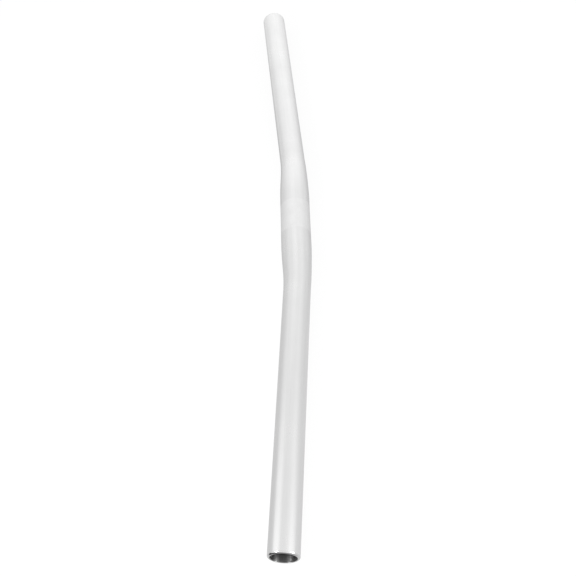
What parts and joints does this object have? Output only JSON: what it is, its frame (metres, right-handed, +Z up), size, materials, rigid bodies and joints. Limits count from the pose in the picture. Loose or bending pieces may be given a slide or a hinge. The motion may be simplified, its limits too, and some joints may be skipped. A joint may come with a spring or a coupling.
{
  "type": "flat handlebar",
  "caption": "Gently swept flat bicycle handlebar of butted aluminium tube, thickest at the stem clamp and tapered to straight open-ended grips.",
  "frame": {"origin": "middle of the stem clamp stretch, on the tube's middle line", "axes": "+X along the clamp stretch towards the right grip, +Z up with the bends lying level, both sides sweep back to -Y"},
  "size_m": [0.58, 0.0395, 0.0254],
  "materials": {
    "satin_anodised_aluminium": "satin silver anodised, with a matt grit-blasted band where the stem clamps"
  },
  "bodies": {
    "root": {"handlebar": "satin_anodised_aluminium"}
  },
  "joints": []
}
